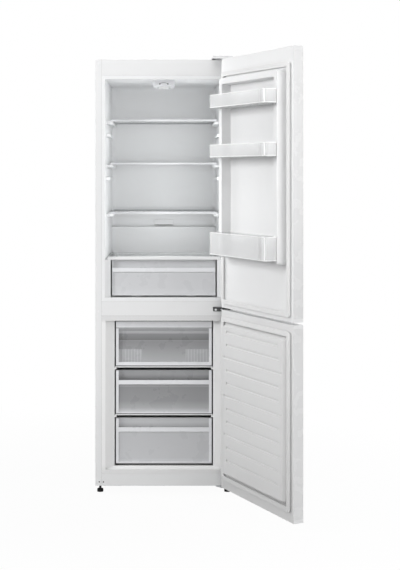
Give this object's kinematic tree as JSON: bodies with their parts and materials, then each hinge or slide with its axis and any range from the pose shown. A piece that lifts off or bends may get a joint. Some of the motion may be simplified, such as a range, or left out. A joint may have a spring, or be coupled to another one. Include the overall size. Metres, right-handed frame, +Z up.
{
  "type": "bottom freezer refrigerator",
  "caption": "Free-standing refrigerator over a bottom freezer, both doors open: glass shelves, crisper, drawers, door bins, hinges, seals, compressor and rear condenser.",
  "frame": {"origin": "on the floor, at the centre of the front left foot's pad", "axes": "+Z up, +X towards the hinge side, +Y from the front to the back"},
  "size_m": [0.8383, 1.1667, 1.9],
  "materials": {
    "cabinet_white": "satin",
    "door_white": "satin",
    "back_sheet": "matte",
    "zinc_steel": "satin",
    "black_steel": "satin",
    "liner_white": "satin",
    "door_liner_white": "satin",
    "trim_white": "satin",
    "gasket_white": "matte",
    "foam": "matte",
    "shelf_glass": "gloss",
    "lens_clear": "gloss",
    "clear_plastic": "gloss",
    "drawer_front_plastic": "satin",
    "rubber_black": "matte",
    "black_plastic": "matte"
  },
  "bodies": {
    "cabinet": {"side_panel_left": "cabinet_white", "side_panel_right": "cabinet_white", "top_panel": "cabinet_white", "back_panel": "back_sheet", "base_panel": "zinc_steel", "top_rail": "cabinet_white", "centre_rail": "cabinet_white", "bottom_rail": "cabinet_white", "insulation_foam": "foam", "fridge_liner": "liner_white", "freezer_liner": "liner_white", "freezer_shelves": "shelf_glass", "crisper_cover_glass": "shelf_glass", "crisper_cover_trim": "trim_white", "lamp_housing": "trim_white", "lamp_lens": "lens_clear", "top_hinge_bracket": "zinc_steel", "top_hinge_cover": "trim_white", "middle_hinge_bracket": "black_steel", "bottom_hinge_bracket": "zinc_steel", "hinge_screws": "zinc_steel", "hole_plugs": "trim_white", "compressor_plate": "zinc_steel", "compressor_mounts": "rubber_black", "compressor": "black_steel", "starter_box": "black_plastic", "drip_tray": "black_plastic", "drain_tube": "trim_white", "condenser": "black_steel"},
    "fridge_door": {"fridge_door_skin": "door_white", "fridge_door_caps": "trim_white", "fridge_door_foam": "foam", "fridge_door_liner": "door_liner_white", "fridge_door_gasket": "gasket_white"},
    "freezer_door": {"freezer_door_skin": "door_white", "freezer_door_caps": "trim_white", "freezer_door_foam": "foam", "freezer_door_liner": "door_liner_white", "freezer_door_gasket": "gasket_white"},
    "bin_upper": {"door_bin_1": "clear_plastic"},
    "bin_middle": {"door_bin_2": "clear_plastic"},
    "bin_lower": {"door_bin_3": "clear_plastic"},
    "shelf_upper": {"shelf_glass_1": "shelf_glass", "shelf_trim_1": "trim_white"},
    "shelf_middle": {"shelf_glass_2": "shelf_glass", "shelf_trim_2": "trim_white"},
    "shelf_lower": {"shelf_glass_3": "shelf_glass", "shelf_trim_3": "trim_white"},
    "crisper": {"crisper_box": "clear_plastic", "crisper_front": "drawer_front_plastic"},
    "freezer_drawer_lower": {"drawer_lower_box": "clear_plastic", "drawer_lower_front": "drawer_front_plastic"},
    "freezer_drawer_middle": {"drawer_middle_box": "clear_plastic", "drawer_middle_front": "drawer_front_plastic"},
    "freezer_drawer_upper": {"drawer_upper": "clear_plastic"},
    "thermostat": {"thermostat_knob": "trim_white"},
    "foot_left": {"levelling_foot_left": "black_plastic"},
    "foot_right": {"levelling_foot_right": "black_plastic"},
    "roller_left": {"rear_roller_left": "black_plastic"},
    "roller_right": {"rear_roller_right": "black_plastic"}
  },
  "joints": [
    {"name": "fridge_door_hinge", "type": "hinge", "parent": "cabinet", "child": "fridge_door", "pos_m": [0.561, -0.087, 0], "axis": [0, 0, 1], "range_deg": [-115, 10]},
    {"name": "freezer_door_hinge", "type": "hinge", "parent": "cabinet", "child": "freezer_door", "pos_m": [0.561, -0.087, 0], "axis": [0, 0, 1], "range_deg": [-115, 10]},
    {"name": "bin_upper_lift", "type": "slide", "parent": "fridge_door", "child": "bin_upper", "axis": [0, 0, 1], "range_m": [0, 0.035]},
    {"name": "bin_middle_lift", "type": "slide", "parent": "fridge_door", "child": "bin_middle", "axis": [0, 0, 1], "range_m": [0, 0.035]},
    {"name": "bin_lower_lift", "type": "slide", "parent": "fridge_door", "child": "bin_lower", "axis": [0, 0, 1], "range_m": [0, 0.035]},
    {"name": "shelf_upper_slide", "type": "slide", "parent": "cabinet", "child": "shelf_upper", "axis": [0, -1, 0], "range_m": [0, 0.3]},
    {"name": "shelf_middle_slide", "type": "slide", "parent": "cabinet", "child": "shelf_middle", "axis": [0, -1, 0], "range_m": [0, 0.3]},
    {"name": "shelf_lower_slide", "type": "slide", "parent": "cabinet", "child": "shelf_lower", "axis": [0, -1, 0], "range_m": [0, 0.3]},
    {"name": "crisper_slide", "type": "slide", "parent": "cabinet", "child": "crisper", "axis": [0, -1, 0], "range_m": [0, 0.3]},
    {"name": "freezer_drawer_lower_slide", "type": "slide", "parent": "cabinet", "child": "freezer_drawer_lower", "axis": [0, -1, 0], "range_m": [0, 0.18]},
    {"name": "freezer_drawer_middle_slide", "type": "slide", "parent": "cabinet", "child": "freezer_drawer_middle", "axis": [0, -1, 0], "range_m": [0, 0.3]},
    {"name": "freezer_drawer_upper_slide", "type": "slide", "parent": "cabinet", "child": "freezer_drawer_upper", "axis": [0, -1, 0], "range_m": [0, 0.3]},
    {"name": "thermostat_turn", "type": "hinge", "parent": "cabinet", "child": "thermostat", "pos_m": [0.2785, 0.051, 0], "axis": [0, 0, 1], "range_deg": [-110, 110]},
    {"name": "foot_left_turn", "type": "hinge", "parent": "cabinet", "child": "foot_left", "pos_m": [0, 0, 0], "axis": [0, 0, 1], "continuous": true},
    {"name": "foot_right_turn", "type": "hinge", "parent": "cabinet", "child": "foot_right", "pos_m": [0.557, 0, 0], "axis": [0, 0, 1], "continuous": true},
    {"name": "roller_left_turn", "type": "hinge", "parent": "cabinet", "child": "roller_left", "pos_m": [0.025, 0.455, 0.017], "axis": [1, 0, 0], "continuous": true},
    {"name": "roller_right_turn", "type": "hinge", "parent": "cabinet", "child": "roller_right", "pos_m": [0.532, 0.455, 0.017], "axis": [1, 0, 0], "continuous": true}
  ]
}
